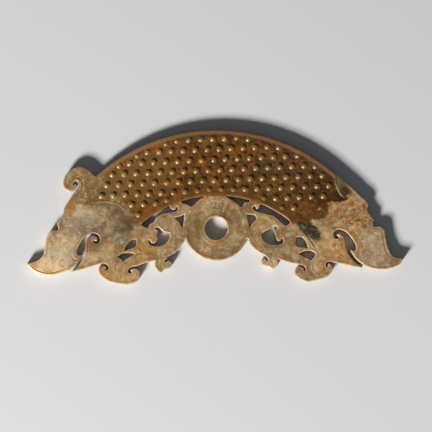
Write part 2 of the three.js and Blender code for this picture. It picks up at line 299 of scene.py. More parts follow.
# %% The grooves of the left head, tuft and bird
LEFT_GROOVES = [
    ("eye", 0.55, ring_of(-79.5, -13.5, 2.3)),
    ("mouth corner", 1.0, [(-77, -31), (-76, -32.8), (-74, -33.3), (-72.3, -33.2)]),
    ("lip whorl", 0.5, ring_of(-81.5, -34.5, 1.7)),
    ("lip", 0.9, [(-98.5, -36), (-95, -38.5), (-91, -39.8), (-87, -39.8), (-84, -39), (-80, -37.5)]),
    ("nostril", 0.5, [(-84.5, -19), (-87, -19.6), (-88.4, -21.5), (-87, -23.4), (-85, -22.4)]),
    ("brow", 0.45, [(-84.5, -15.5), (-86.5, -16.2), (-88.2, -17.6)]),
    (
        "horn",
        1.0,
        [(-75.7, 8.2), (-75.2, 9.9), (-73.4, 10.6), (-71.5, 9.5), (-70.5, 6.8), (-71, 4.2), (-72.8, 2)],
    ),
    ("horn tick", 0.6, [(-69.4, 10.4), (-67.4, 10)]),
    ("horn tick lower", 0.6, [(-68.8, 7.6), (-66.8, 6.9)]),
    ("horn tick lowest", 0.5, [(-68.4, 5.6), (-66.6, 4.6)]),
    ("forehead", 0.6, [(-75.5, 0), (-77.6, -1.9), (-79, -4)]),
    ("brow curl", 0.4, [(-70.5, -2), (-69, -3.2), (-67.6, -2.4), (-68.4, -1.4)]),
    ("wing", 0.6, [(-42, -26.5), (-40.2, -28.2), (-38.6, -29.3)]),
    ("tail", 0.6, [(-43, -30.3), (-40.8, -30), (-38.6, -30.2)]),
    ("breast", 0.5, [(-18.8, -11.5), (-17.9, -15.5), (-18.6, -20.5), (-21.5, -25)]),
    ("tuft front", 0.6, [(-62.4, -35.4), (-58.6, -35.2), (-56.8, -37.2), (-57.6, -39.6), (-59.6, -40.2)]),
    ("tuft back", 0.6, [(-43.4, -36.6), (-46.8, -37.4), (-47.8, -39.6), (-46.6, -41.4)]),
    ("tuft hair", 0.35, [(-53.6, -35.4), (-53.4, -38.6)]),
    ("tuft hair middle", 0.35, [(-51.8, -35.6), (-51.7, -39.2)]),
    ("tuft hair last", 0.35, [(-50, -36), (-49.9, -39)]),
    ("foot leaf", 0.8, [(-28.8, -34.6), (-29.8, -36.4), (-29.6, -38.6)]),
    ("foot leaf side", 0.8, [(-30.4, -35.2), (-31.2, -37), (-30.6, -38.6)]),
    ("cheek curl", 0.5, ring_of(-60.8, -8.3, 1.2, 7)),
    ("jaw", 0.5, [(-66.6, -22.4), (-67.8, -24.6), (-68.4, -27.4), (-68.2, -30)]),
]

# %% The grooves of the right head, tuft and bird, and of the ring
RIGHT_GROOVES = [
    ("muzzle", 0.45, [(70.5, -18), (74, -21.5), (77, -26), (77.8, -29)]),
    ("nostril", 0.6, [(83.5, -19), (83, -20.5), (85, -22.3), (86.5, -24.5)]),
    ("snout", 0.8, [(86.5, -18.5), (88, -21), (88.5, -24), (89, -28), (90.8, -32), (93.8, -34.8)]),
    ("lip", 0.6, [(79.5, -36), (82, -38), (86, -38.8), (92, -38.3), (97, -36.5)]),
    ("eye", 0.75, ring_of(79.3, -14, 2.0)),
    ("temple", 0.6, ring_of(72.9, -8.9, 1.2, 7)),
    ("jaw", 0.9, [(47.6, -20), (50.4, -24.8), (53.2, -29)]),
    ("tuft front", 0.6, [(62, -35.4), (58.2, -35), (57, -37), (57.4, -39.4), (59, -40.4)]),
    ("tuft back", 0.6, [(43.4, -36.4), (46.8, -37.2), (47.8, -39), (46.4, -40.8)]),
    ("foot leaf", 0.8, [(28.8, -34.4), (29.8, -36), (29.4, -37.8)]),
    ("breast", 0.5, [(18.8, -13), (18.3, -17), (19.4, -22), (22.4, -26)]),
    ("back", 0.4, [(21.5, -9.2), (26, -10.4), (30.4, -12.4), (33.4, -15.4)]),
    ("ring lip", 0.9, ring_of(*RING_CENTRE, 7.6, 25)),
    ("ring rim", 0.6, ring_of(*RING_CENTRE, 15.4, 37)),
]

# %% Fine ridges
RIDGES = [
    ("cheek", 1.0, [(-65, -2.7), (-60, -2.5), (-56, -2.7), (-52, -4), (-48.8, -6.7), (-48, -8.4)]),
    ("nape", 1.0, [(63, 9.6), (63.9, 5), (65.2, 1.6), (66.8, -0.9), (68.4, -2.1)]),
    ("jaw", 0.9, [(46.2, -20.2), (49, -24.6), (52.2, -29.4)]),
    ("brow", 0.7, [(68.4, 5.6), (71.8, 2.6), (75.6, -1), (78.6, -4.6)]),
    ("tuft", 0.8, [(50.3, -35.5), (50.4, -39.4), (52.4, -42.4), (55.5, -43.3)]),
    ("horn", 0.9, [(-74.7, 9.4), (-73, 9.3), (-71.8, 7.7), (-71.6, 5.4), (-72.8, 3.2)]),
    ("muzzle", 0.5, [(88.6, -17.6), (89.4, -21), (89.8, -25), (90.6, -28.6), (92.6, -32), (95.4, -34.4)]),
]


def engraving(lines):
    """All lines as one set of steps: starts, ends, share of the line reached and strength of each."""
    curves = [smooth_curve(points) for _, _, points in lines]
    counts = [len(curve) - 1 for curve in curves]
    starts = np.vstack([curve[:-1] for curve in curves])
    ends = np.vstack([curve[1:] for curve in curves])
    reached = np.concatenate([(np.arange(count) + 0.5) / count for count in counts])
    return starts, ends, reached, np.repeat([strength for _, strength, _ in lines], counts)


all_grooves = LEFT_GROOVES + RIGHT_GROOVES
grooves = engraving(all_grooves)
ridges = engraving(RIDGES)
print(len(all_grooves), "grooves and", len(RIDGES), "ridges")
print("cut to full depth:", ", ".join(name for name, strength, _ in all_grooves if strength == 1))

# %% [markdown]
# ## Where the surface needs points
# A groove half a millimetre wide needs points every 0.3 mm, but a plain cheek doesn't. All points
# are taken from one triangular lattice: every point near a grain or line, every second one
# elsewhere. A coarse point is then always a fine one too, so the two never crowd each other.

# %% Lattice
FINE = 0.32
ROLL = 0.62  # how far the rounding of an edge reaches into the face
GRAIN_MARGIN = 0.3  # fine points reach this far beyond a grain's foot
LINE_MARGIN = 0.7  # and this far from the middle of a groove or ridge
SPARE_COLUMNS = 60  # on either side, since the part's middle is not quite at x = 0


def lattice(step):
    """Triangular lattice over the part: x = step * (i + j / 2), y = step * j * sqrt(3) / 2."""
    low = outline.min(axis=0)
    high = outline.max(axis=0)
    rise = step * math.sqrt(3) / 2
    rows = np.arange(math.floor(low[1] / rise), math.ceil(high[1] / rise) + 1)
    half = int((high[0] - low[0]) / step / 2) + SPARE_COLUMNS
    columns = np.arange(-half, half + 1)
    j, i = np.meshgrid(rows, columns, indexing="ij")
    i = i - j // 2
    places = np.stack([step * (i + j / 2), rise * j], axis=-1).reshape(-1, 2)
    within = (places > low).all(axis=1) & (places < high).all(axis=1)
    return places[within], i.ravel()[within], j.ravel()[within]


places, column, row = lattice(FINE)
grain_distance = distance_along(places, peaks, peaks)[0]
groove_distance = distance_along(places, *grooves[:2])[0]
ridge_distance = distance_along(places, *ridges[:2])[0]
near_line = np.minimum(groove_distance, ridge_distance) < LINE_MARGIN
fine = (grain_distance < GRAIN_RADIUS + GRAIN_MARGIN) | near_line
even = (column % 2 == 0) & (row % 2 == 0)
places = places[fine | even]
edge_distance = depth_inside(places, outline, outline_next)
places = places[edge_distance > ROLL * 0.8]
print(len(places), "lattice points")

# %% [markdown]
# The rounded edge needs rows of points that follow the outline, or it would look frayed. They are
# the outline moved inwards by a few distances. In a narrow place such a row would run into the
# opposite side, so only the points that are still about that far from every edge are kept.

# %% Rows beside the outline
ROWS = (0.07, 0.2, 0.4, ROLL)


def inset(distance):
    """The outline's points moved inwards along the mean normal of their two steps."""
    moved = outline + normals(outline, outline_next)[1] * distance
    return moved[depth_inside(moved, outline, outline_next) > 0.9 * distance]


beside = [inset(distance) for distance in ROWS]
print("rows beside the outline:", [len(rows) for rows in beside])


# %% Triangles between all the points
def triangles_inside(inner):
    """Delaunay triangles over the outline and the inner points, without those in the openings.

    A triangle with an inner corner lies in the stone. One with three corners on the outline is
    kept if its middle is inside.
    """
    points = np.vstack([outline, inner])
    edges = np.stack([np.arange(len(outline)), outline_next], axis=1)
    found = delaunay_2d_cdt(points.tolist(), edges.tolist(), [], 0, 1e-7, False)
    corners = np.array(found[2])
    assert len(found[0]) == len(points), "two points fell together"
    on_outline = (corners < len(outline)).all(axis=1)
    middle = points[corners].mean(axis=1)
    keep = ~on_outline
    keep[on_outline] = depth_inside(middle[on_outline], outline, outline_next) > 0
    return points, corners[keep]


top_points, top_triangles = triangles_inside(np.vstack([*beside, places]))
print("top:", len(top_points), "points,", len(top_triangles), "triangles")

# %% [markdown]
# ## The carved face
# The height of the face is a sum of simple shapes, each a function of a distance: a quarter round
# at the outline, a dome with a curl on every grain, and a round groove along every line. The ring's
# face lies a little lower than the rest. The field falls away from its rims by a narrow step and a
# long slope together, since a steep step alone would catch the low light as a bright streak.

# %% Height of the carved face
DOME_POWER = 0.85
TIP_DEPTH = 0.12
CURL_TURNS = 1.15  # from the middle of a grain to its foot
CURL_WIDTH = 0.13
CURL_DEPTH = 0.19
NEXT_CURL = 0.37  # radians by which each grain's curl is turned from the one before
THIN_END = 0.45  # strength of a groove's very end
GROOVE_DEPTH = 0.26
GROOVE_HALF_WIDTH = 0.48
RIDGE_HEIGHT = 0.2
RIDGE_HALF_WIDTH = 0.6
STEP_SHARE = 0.35  # share of the field's depth that lies in the narrow step
FILLET = 0.12
WAVINESS = 0.05
WAVE_COUNT = 9
WAVE_GAIN = 1.6  # waves seldom meet, so their mean is scaled up


def ease(value, low, high):
    """Smooth step from 0 at low to 1 at high: 3 t squared - 2 t cubed."""
    t = np.clip((value - low) / (high - low), 0, 1)
    return t * t * (3 - 2 * t)


def rolled_edge(depth, radius):
    """Fall of a quarter round: radius - sqrt(radius squared - (radius - depth) squared)."""
    inward = np.clip(radius - depth, 0, radius)
    return radius - np.sqrt(radius**2 - inward**2)


def ripple(points, size, seed):
    """Soft random waves of about the given size, from -1 to 1: a sum of sines in random directions."""
    random = np.random.default_rng(seed)
    total = np.zeros(len(points))
    for _ in range(WAVE_COUNT):
        angle = random.uniform(0, 2 * math.pi)
        wave = 2 * math.pi / (size * random.uniform(0.7, 1.6))
        direction = np.array([math.cos(angle), math.sin(angle)]) * wave
        total += np.sin(points @ direction + random.uniform(0, 2 * math.pi))
    return total / WAVE_COUNT * WAVE_GAIN


def grain_shape(points):
    """A low dome with a small flat tip, and a curl on it: a groove that winds in as the angle turns."""
    distance, number, _ = distance_along(points, peaks, peaks)
    offset = points - peaks[number]
    share = distance / GRAIN_RADIUS
    dome = GRAIN_HEIGHT * np.clip(1 - share**2, 0, 1) ** DOME_POWER
    tip = TIP_DEPTH * np.clip(1 - share / 0.35, 0, 1)
    angle = np.arctan2(offset[:, 1], offset[:, 0]) + number * NEXT_CURL
    winding = (angle / (2 * math.pi) - share * CURL_TURNS) % 1.0
    on_slope = ease(share, 0.2, 0.45) * (1 - ease(share, 0.8, 1.0))
    curl = np.exp(-(((winding - 0.5) / CURL_WIDTH) ** 2)) * on_slope
    return np.clip(dome - tip - CURL_DEPTH * curl, 0, None), share, curl


def line_profile(points, lines, half_width):
    """Nearness to a set of lines: a cosine bump, lower and thinner towards both ends of a line."""
    starts, ends, reached, strength = lines
    distance, step, _ = distance_along(points, starts, ends)
    end_share = np.minimum(reached[step], 1 - reached[step])
    taper = THIN_END + (1 - THIN_END) * ease(end_share, 0, 0.2)
    share = np.clip(distance / (half_width * taper), 0, 1)
    return (0.5 + 0.5 * np.cos(math.pi * share)) * taper * strength[step]


def blended_larger(first, second, reach):
    """The larger of two heights, with a fillet where they cross.

    h = max + (reach - gap) squared / (4 reach), where the gap is less than the reach.
    """
    gap = np.abs(first - second)
    return np.maximum(first, second) + np.clip(reach - gap, 0, None) ** 2 / (4 * reach)


def steps_of(points, following, chosen):
    return points[chosen], points[following[chosen]]


field_radius = np.linalg.norm(field_line - ARCH_CENTRE, axis=1)
RIM_RADII = (field_radius.min(), field_radius.max())
RIM_MARGIN = 0.3
BAND_ONLY = 40.0  # nearer to the middle than this there is no head
between_rims = (field_radius > RIM_RADII[0] + RIM_MARGIN) & (field_radius < RIM_RADII[1] - RIM_MARGIN)
at_head = between_rims & (np.abs(field_line[:, 0]) > BAND_ONLY)
head_starts, head_ends = steps_of(field_line, field_next, at_head)
print("rims of the field at", [round(radius, 2) for radius in RIM_RADII], "mm from the arch's centre")


def nape_distance(points):
    """Distance to the lines where the heads begin, positive on the band's side of them."""
    distance, step, _ = distance_along(points, head_starts, head_ends)
    run = (head_ends - head_starts)[step]
    offset = points - head_starts[step]
    side = np.sign(run[:, 0] * offset[:, 1] - run[:, 1] * offset[:, 0])
    return distance * np.where(np.abs(points[:, 0]) < BAND_ONLY, 1, side)


def carved_height(points):
    """Height of the face over the underside, in mm, and the masks that the material uses."""
    edge = edge_depth(points)
    radius = np.linalg.norm(points - ARCH_CENTRE, axis=1)
    from_rim = np.minimum(radius - RIM_RADII[0], RIM_RADII[1] - radius)
    from_nape = nape_distance(points)
    ring = depth_inside(points, ring_line, ring_next)
    grain, grain_share, curl = grain_shape(points)
    hollow = line_profile(points, grooves, GROOVE_HALF_WIDTH)
    crest = line_profile(points, ridges, RIDGE_HALF_WIDTH)
    narrow_step = ease(from_rim, -0.5, 1.7)
    long_slope = ease(from_rim, -0.5, 5.5)
    sunk = STEP_SHARE * narrow_step + (1 - STEP_SHARE) * long_slope
    in_field = sunk * ease(from_nape, -5.0, 1.5)
    in_ring = ease(ring, -0.1, 1.6)
    ground = THICKNESS - GROUND_DEPTH * in_field - RING_FACE_DEPTH * in_ring
    height = blended_larger(ground, FIELD_LEVEL + grain, FILLET)
    height -= GROOVE_DEPTH * hollow * (1 - ease(edge, 0.9, 0.2))
    height += RIDGE_HEIGHT * crest * ease(edge, 0.5, 1.5)
    height -= rolled_edge(edge, ROLL) * 0.9
    height += WAVINESS * ripple(points, 9.0, 3) * ease(edge, 0.0, 1.5) - WAVINESS
    masks = {
        "rim": ease(RIM_RADII[1] - radius, 1.5, 0.1),
        "grain": ease(grain_share, 1.0, 0.55),
        "hollow": np.maximum(hollow, 0.8 * curl),
        "crest": crest,
    }
    return height, edge, masks


top_height, top_edge, top_masks = carved_height(top_points)
top_height = np.minimum(top_height, THICKNESS + GRAIN_HEIGHT - GROUND_DEPTH)
print("carved face from", round(top_height.min(), 2), "to", round(top_height.max(), 2), "mm high")

# %% [markdown]
# ## The back and the sawn walls
# The back is plain and a little rounded at its edge, so it needs few points. The walls join the
# two faces. A wire saw leaves a wall slightly bowed, with faint ridges across it.

# %% Back
BACK_ROLL = 0.5
BACK_EVERY = 8  # every eighth lattice row and column is kept
back_places, back_column, back_row = lattice(FINE)
sparse = (back_column % BACK_EVERY == 0) & (back_row % BACK_EVERY == 0)
back_places = back_places[sparse]
back_places = back_places[depth_inside(back_places, outline, outline_next) > BACK_ROLL * 1.5]
back_points, back_triangles = triangles_inside(np.vstack([inset(0.15), inset(BACK_ROLL), back_places]))
back_edge = edge_depth(back_points)
back_height = rolled_edge(back_edge, BACK_ROLL)
print("back:", len(back_points), "points,", len(back_triangles), "triangles")

# %% Walls
WALL_ROWS = 4
WALL_BOW = 0.06


def wall_rows():
    """Rows of points between the back's outline and the face's outline.

    Each row is moved inwards by a sine bow, which is stronger and weaker in ripples round the wall.
    """
    inward = normals(outline, outline_next)[0]
    share = (np.arange(1, WALL_ROWS) / WALL_ROWS)[:, None]
    low = back_height[: len(outline)]
    high = top_height[: len(outline)]
    height = low + (high - low) * share
    bow = WALL_BOW * np.sin(math.pi * share) * (1 + 0.5 * ripple(outline, 1.7, 8))
    flat = outline + inward * bow[..., None]
    return np.concatenate([flat, height[..., None]], axis=-1).reshape(-1, 3)


def wall_quads(first_rows):
    """Quads between following rows, seen from outside: lower here, lower next, upper next, upper here."""
    here = np.arange(len(outline))
    strips = [
        np.stack([low + here, low + outline_next, high + outline_next, high + here], axis=1)
        for low, high in zip(first_rows[:-1], first_rows[1:])
    ]
    return np.vstack(strips)


wall_points = wall_rows()
print("walls:", len(wall_points), "points")

# %% One closed surface
top_count = len(top_points)
back_count = len(back_points)
surface = np.vstack(
    [
        np.column_stack([top_points, top_height]),
        np.column_stack([back_points, back_height]),
        wall_points,
    ]
)
first_rows = [top_count] + [top_count + back_count + k * len(outline) for k in range(WALL_ROWS - 1)] + [0]
quads = wall_quads(first_rows)


def anticlockwise(points, corners):
    """The triangles with their corners turned so that all face up."""
    a, b, c = points[corners[:, 0]], points[corners[:, 1]], points[corners[:, 2]]
    area = (b[:, 0] - a[:, 0]) * (c[:, 1] - a[:, 1]) - (b[:, 1] - a[:, 1]) * (c[:, 0] - a[:, 0])
    return np.where((area < 0)[:, None], corners[:, ::-1], corners)


top_up = anticlockwise(top_points, top_triangles)
back_down = anticlockwise(back_points, back_triangles)[:, ::-1] + top_count
triangles = np.vstack([top_up, back_down, quads[:, [0, 1, 2]], quads[:, [0, 2, 3]]])
print("whole surface:", len(surface), "points,", len(triangles), "triangles")


# %% Put the surface into a mesh
def mesh_object(name, points, corners):
    """A mesh object at the origin, from points in mm and triangles, shaded smooth."""
    mesh = bpy.data.meshes.new(name)
    mesh.vertices.add(len(points))
    mesh.vertices.foreach_set("co", (points * MM).astype(np.float32).ravel())
    mesh.loops.add(corners.size)
    mesh.loops.foreach_set("vertex_index", corners.astype(np.int32).ravel())
    mesh.polygons.add(len(corners))
    mesh.polygons.foreach_set("loop_start", np.arange(0, corners.size, 3, dtype=np.int32))
    mesh.polygons.foreach_set("use_smooth", np.ones(len(corners), bool))
    mesh.update(calc_edges=True)
    assert not mesh.validate(), "the mesh had faults"
    piece = bpy.data.objects.new(name, mesh)
    bpy.context.scene.collection.objects.link(piece)
    return piece


carving = mesh_object("carved_jade", surface, triangles)

# %% [markdown]
# The material needs to know where the outer rim, the grains, the lines and the edges are. Each of
# these is a number that the surface already has, so it is stored on the mesh's points, where the
# shader can read it. Distances are cut off where they no longer matter.

# %% Masks on the mesh
EDGE_REACH = 6
NAPE_REACH = 30


def store(name, values):
    """A number for each point of the mesh, 0 beyond the last value given."""
    whole = np.zeros(len(surface), np.float32)
    whole[: len(values)] = values
    carving.data.attributes.new(name, "FLOAT", "POINT").data.foreach_set("value", whole)


for mask_name, mask_values in top_masks.items():
    store(mask_name, mask_values)
store("edge", np.clip(np.concatenate([top_edge, back_edge]), 0, EDGE_REACH))
store("nape", np.clip(nape_distance(surface[:, :2]), -NAPE_REACH, NAPE_REACH))
print("masks:", [attribute.name for attribute in carving.data.attributes if attribute.data_type == "FLOAT"])

# %% [markdown]
# ## Shader maths as plain Python
# A material is a graph of nodes, and a long sum is hard to read as a graph. The small class below
# wraps one output, so that an expression such as 1 - mask * 0.5 adds the Math nodes by itself.

# %% A value in the node graph
def linear(hex_colour):
    """A screen colour such as 'a38d72' as the linear numbers that the shader works with."""
    parts = np.array([int(hex_colour[i : i + 2], 16) for i in (0, 2, 4)]) / 255
    return (*np.where(parts <= 0.04045, parts / 12.92, ((parts + 0.055) / 1.055) ** 2.4), 1.0)


class Value:
    """An output socket that adds Math nodes when it is used in an expression."""

    def __init__(self, graph, socket):
        self.graph = graph
        self.socket = socket

    def maths(self, operation, first, second):
        return self.graph.node("ShaderNodeMath", {"operation": operation}, {0: first, 1: second})

    def __add__(self, other):
        return self.maths("ADD", self, other)

    __radd__ = __add__

    def __sub__(self, other):
        return self.maths("SUBTRACT", self, other)

    def __rsub__(self, other):
        return self.maths("SUBTRACT", other, self)

    def __mul__(self, other):
        return self.maths("MULTIPLY", self, other)

    def __abs__(self):
        return self.maths("ABSOLUTE", self, 0)

    def larger(self, other):
        return self.maths("MAXIMUM", self, other)

    def smooth(self, low, high):
        """Smooth step from 0 at low to 1 at high."""
        settings = {"interpolation_type": "SMOOTHSTEP"}
        inputs = {"Value": self, "From Min": low, "From Max": high}
        return self.graph.node("ShaderNodeMapRange", settings, inputs)


class Graph:
    """The node tree of one material."""

    def __init__(self, material):
        material.use_nodes = True
        self.tree = material.node_tree
        self.tree.nodes.clear()

    def node(self, kind, settings, inputs, output=0):
        """Adds a node: settings first, then numbers or links for its sockets. Returns one output."""
        made = self.tree.nodes.new(kind)
        for name, value in settings.items():
            setattr(made, name, value)
        for key, value in inputs.items():
            socket = self.find(made.inputs, key)
            if isinstance(value, Value):
                self.tree.links.new(value.socket, socket)
            else:
                socket.default_value = value
        return Value(self, self.find(made.outputs, output)) if len(made.outputs) else made

    @staticmethod
    def find(sockets, key):
        if isinstance(key, int):
            return sockets[key]
        return next(socket for socket in sockets if key in (socket.identifier, socket.name))

    def mix(self, share, first, second):
        """Blends two colours."""
        settings = {"data_type": "RGBA"}
        inputs = {"Factor_Float": share, "A_Color": first, "B_Color": second}
        return self.node("ShaderNodeMix", settings, inputs, "Result_Color")

    def vector(self, operation, inputs, output=0):
        return self.node("ShaderNodeVectorMath", {"operation": operation}, inputs, output)

    def noise(self, vector, size, detail=3.0, roughness=0.55, output="Fac"):
        """Cloudy pattern whose lumps are about size mm across."""
        inputs = {"Vector": vector, "Scale": 1 / (size * MM), "Detail": detail, "Roughness": roughness}
        return self.node("ShaderNodeTexNoise", {}, inputs, output)

    def cells(self, vector, size, feature):
        """Distance to the middle (F1) or the border (DISTANCE_TO_EDGE) of cells about size mm across."""
        inputs = {"Vector": vector, "Scale": 1 / (size * MM)}
        return self.node("ShaderNodeTexVoronoi", {"feature": feature}, inputs, "Distance")

    def attribute(self, name, output="Fac"):
        return self.node("ShaderNodeAttribute", {"attribute_name": name}, {}, output)

    def surface(self, inputs):
        """The material's shader, joined to its output."""
        shader = self.node("ShaderNodeBsdfPrincipled", {}, inputs)
        self.node("ShaderNodeOutputMaterial", {}, {"Surface": shader})


# %% [markdown]
# ## The stone's colours
# The band is stained brown from burial, the heads, birds and ring are pale buff with grey clouds,
# and rust has crept along pits. Stains lie where they lie on the stone, so each is a soft ellipse
# at a place on it, with its edge broken up by noise. There are two kinds. The many small ones are
# worked out here for each point of the mesh and stored on it, and the few large ones are made in
# the material. A few shared warps keep the large ones' edges ragged alike.

# %% Small stains, in their places on the mesh
STAIN_WAVE = 3.2  # size in mm of the ripple that bends the stains' edges
STAIN_PUSH = 0.9  # how far in mm it moves them
SMALL_STAINS = [
    # x, y, width, height, turn, colour, strength
    (-49.6, -15.5, 5.6, 4.6, 0, "514d37", 0.55),
    (-46.6, -16.6, 3, 1.4, 0, "3a2f1a", 0.45),
    (-50.4, -17.8, 2.8, 1.2, 10, "43432f", 0.4),
    (-51, -12, 2.2, 1.5, 30, "5c5a3c", 0.5),
    (-53.4, -8.2, 1.6, 1.2, 0, "6b4632", 0.55),
    (-56.3, -12.3, 2.2, 1.2, 40, "8e6248", 0.4),
    (-59.6, -14.8, 1.6, 1.6, 10, "6f4a40", 0.55),
    (-57.4, -18.4, 2.4, 1.6, 10, "c2a68a", 0.6),
    (-60.2, -8, 2, 1.6, 0, "b59c5e", 0.3),
    (-52.4, -27.6, 2.6, 1.4, -20, "a8743c", 0.5),
    (-86, -18.4, 1.8, 1.1, -20, "6f5a50", 0.7),
    (-69.5, -12.5, 3.4, 1.6, -10, "8f8272", 0.5),
    (-72.7, -8.8, 3.6, 1.6, 20, "c9bda4", 0.5),
    (-96.6, -35.9, 1.6, 0.8, -30, "c98d52", 0.4),
    (-74.9, -31.8, 2, 1.0, 0, "b98448", 0.5),
    (-60.9, -38, 1.6, 2.2, 0, "b5783a", 0.6),
    (-50.9, -39.4, 0.8, 2, 0, "a8702e", 0.6),
    (-56.6, -42, 2.4, 1.1, -20, "bb8c46", 0.5),
    (-34.2, -21, 1.4, 2, 0, "bf8c52", 0.6),
    (-36.3, -28.4, 3.2, 1.6, -10, "ab7632", 0.6),
    (-39.8, -33.4, 2.4, 0.9, 10, "a8742e", 0.5),
    (-40.9, -24, 0.9, 2, 10, "9a6a34", 0.6),
    (-40.6, -16.6, 1.4, 0.9, 0, "c4aa92", 0.6),
    (-26.3, -14.6, 3.2, 2, -20, "989078", 0.5),
    (-28.6, -36.8, 4.6, 3.4, 0, "c4ae82", 0.4),
    (-5.1, -1, 1.3, 1.4, 0, "a8683a", 0.7),
    (-8.3, -3.6, 2.6, 1.2, 40, "a87840", 0.5),
    (-9.7, -15.4, 1.8, 4, 0, "80623a", 0.6),
    (-12.2, -24.4, 0.8, 3, -35, "bb9a7c", 0.6),
    (-16.9, -21.4, 1.0, 2, 0, "a3742f", 0.6),
    (0, -25.2, 5, 0.8, 0, "a37636", 0.6),
    (9.4, -16.1, 0.9, 2.6, 0, "a87a62", 0.6),
    (9.2, -22.8, 1.6, 1.4, 0, "bb9c84", 0.6),
    (9.4, -27.9, 0.9, 0.8, 0, "6f4620", 0.7),
    (17, -19, 0.9, 4, 0, "946426", 0.6),
    (16.4, -7, 1.2, 2, -30, "a26e38", 0.6),
    (22.4, -18, 1.6, 3, 0, "ac8048", 0.5),
    (34.3, -21.7, 1.4, 2, 0, "b48a52", 0.5),
    (40.3, -24, 1.3, 3, 10, "8c6636", 0.5),
    (44.4, -21, 1.3, 0.8, -20, "b9896a", 0.6),
    (45.1, -40.6, 2, 1.3, 0, "a3703a", 0.6),
    (56.4, -23.7, 1.6, 1.0, 0, "b0702e", 0.7),
    (56.4, -29.8, 2, 1.3, 0, "b0844c", 0.5),
    (71.4, -5.5, 1.4, 1.4, 0, "8a5420", 0.7),
    (78.6, -6.4, 1.0, 1.5, 20, "843c20", 0.8),
    (64, -9, 1.4, 1.3, 0, "96502a", 0.7),
    (72.8, -8.9, 0.9, 0.7, 0, "5a3a18", 0.8),
    (66.4, -12.4, 0.9, 0.7, 0, "5f3a1c", 0.8),
    (72.1, -11.4, 2.2, 0.8, -20, "7a4a1c", 0.7),
    (74, -14.3, 0.9, 0.7, 0, "55310f", 0.9),
    (75.6, -14, 0.8, 0.6, 0, "55310f", 0.9),
    (79.2, -14.6, 1.2, 1.1, 0, "70401a", 0.6),
    (81.9, -13.9, 0.9, 1.1, 0, "55310f", 0.8),
    (71.4, -15.6, 1.5, 0.7, -20, "96521e", 0.7),
    (79.2, -17.4, 1.1, 0.7, 0, "6a3018", 0.8),
    (75.5, -19.9, 1.5, 1.5, 0, "a5692e", 0.7),
    (68.5, -18.5, 1.5, 0.8, -20, "a4602a", 0.7),
    (71.4, -20.8, 0.7, 0.9, 0, "9a3a22", 0.8),
    (63, -18.2, 1.1, 0.8, 20, "6b4838", 0.7),
    (62.3, -27.1, 0.9, 1.4, 0, "7d4c24", 0.7),
    (65.6, -23.9, 0.9, 1.0, 0, "a84f26", 0.8),
    (74.9, -32.1, 1.0, 1.6, -20, "a4602c", 0.7),
    (77.1, -27.8, 1.1, 3.2, 20, "a87a44", 0.6),
    (80.3, -32.4, 1.6, 0.8, 0, "a0602e", 0.7),
    (85.3, -33.9, 1.2, 0.9, 0, "a07040", 0.5),
    (-62, -20, 7, 4, -10, "6d5440", 0.35),
    (67, 6.2, 6.4, 4.4, -45, "474228", 0.9),
    (68.4, 1.8, 3.6, 2.4, -30, "352a18", 0.8),
    (-11.5, -17.3, 5, 9, 0, "6f5630", 0.5),
    (11, -14, 3, 6, 20, "8a6238", 0.3),
]


def painted(stains):
    """Colour and cover of many small ellipses, each painted over the last: c = c (1 - s) + new s.

    Sizes are in drawing units. A ripple pushes the places about, so that no edge is a true ellipse.
    """
    flat = surface[:, :2]
    push = np.stack([ripple(flat, STAIN_WAVE, seed) for seed in (21, 22)], axis=1)
    colour = np.zeros((len(surface), 3))
    cover = np.zeros((len(surface), 1))
    for x, y, width, height, turn, hex_colour, strength in stains:
        away = (flat + push * STAIN_PUSH) / UNIT - (x, y)
        cosine, sine = math.cos(math.radians(turn)), math.sin(math.radians(turn))
        local = away @ np.array([[cosine, -sine], [sine, cosine]]) / (width, height)
        share = strength * ease(np.linalg.norm(local, axis=1), 1.5, 0.5)[:, None]
        colour = colour * (1 - share) + np.array(linear(hex_colour)[:3]) * share
        cover = cover * (1 - share) + share
    return colour / np.maximum(cover, 1e-6), cover.ravel()


stain_colour, stain_cover = painted(SMALL_STAINS)
store("stain_cover", stain_cover)
colours = carving.data.attributes.new("stain_colour", "FLOAT_VECTOR", "POINT")
colours.data.foreach_set("vector", stain_colour.astype(np.float32).ravel())
covered = round(100 * float((stain_cover > 0.3).mean()))
print(len(SMALL_STAINS), "small stains cover", covered, "% of the points")

# %% Places on the stone
jade = bpy.data.materials.new("polished_jade")
graph = Graph(jade)
coordinates = graph.node("ShaderNodeTexCoord", {}, {}, "Object")


def warped(amount, size):
    """Object coordinates pushed about by up to amount mm, in lumps of size mm."""
    cloud = graph.noise(coordinates, size, 4.0, 0.6, "Color")
    centred = graph.vector("SUBTRACT", {0: cloud, 1: (0.5, 0.5, 0.5)})
    push = graph.vector("SCALE", {0: centred, "Scale": 2 * amount * MM})
    return graph.vector("ADD", {0: coordinates, 1: push})


ragged = warped(6.0, 9.0)
crisp = warped(2.6, 5.0)
soft = warped(8.0, 26.0)


def away_from(x, y, width=1.0, height=1.0, turn=0.0, space=coordinates):
    """Distance from a place on the face, 1 on an ellipse of this width and height in mm.

    A Mapping node brings the ellipse, turned by degrees, to a unit circle round the origin.
    """
    inputs = {
        "Vector": space,
        "Location": (x * MM, y * MM, 0),
        "Rotation": (0, 0, math.radians(turn)),
        "Scale": (width * MM, height * MM, 1.0),
    }
    local = graph.node("ShaderNodeMapping", {"vector_type": "TEXTURE"}, inputs)
    return graph.vector("LENGTH", {0: local}, "Value")


def patch(x, y, width, height, turn=0.0, edge=0.5, space=ragged):
    """Ellipse on the face, 1 inside it and 0 outside: centre and size in drawing units, turn in degrees."""
    away = away_from(x * UNIT, y * UNIT, width * UNIT, height * UNIT, turn, space)
    return away.smooth(1 + edge, 1 - edge)


def tint(base, share, hex_colour):
    """A colour with a share of another one mixed in."""
    return graph.mix(share, base, linear(hex_colour))


